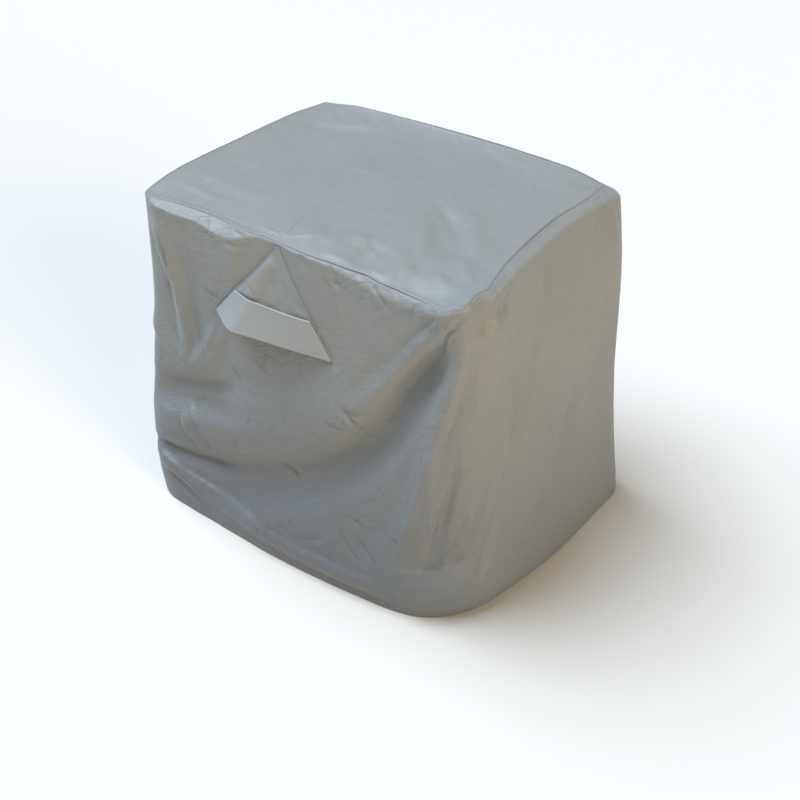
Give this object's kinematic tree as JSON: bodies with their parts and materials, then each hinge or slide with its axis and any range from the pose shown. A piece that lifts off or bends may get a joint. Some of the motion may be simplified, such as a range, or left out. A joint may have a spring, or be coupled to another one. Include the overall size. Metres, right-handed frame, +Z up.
{
  "type": "air conditioner cover",
  "caption": "Fitted fabric cover, open at the bottom, with a sagging lid, draped walls and a triangular air vent with a stiff turned-up band.",
  "frame": {"origin": "middle of the bounding box's bottom, level with the hem", "axes": "+Z up, -Y towards the front wall with the air vent, +X to the right as seen from the front"},
  "size_m": [1.071, 0.8222, 0.865],
  "materials": {
    "lid_cloth": "coated woven polyester, grey beige, dull sheen",
    "wall_cloth": "coated woven polyester, grey beige, dull sheen",
    "hood_cloth": "coated woven polyester, grey beige, dull sheen",
    "stiffened_cloth": "coated woven polyester over a stiffener, smooth"
  },
  "bodies": {
    "root": {"top_panel": "lid_cloth", "wall": "wall_cloth", "vent_hood": "hood_cloth", "vent_band": "stiffened_cloth"}
  },
  "joints": []
}
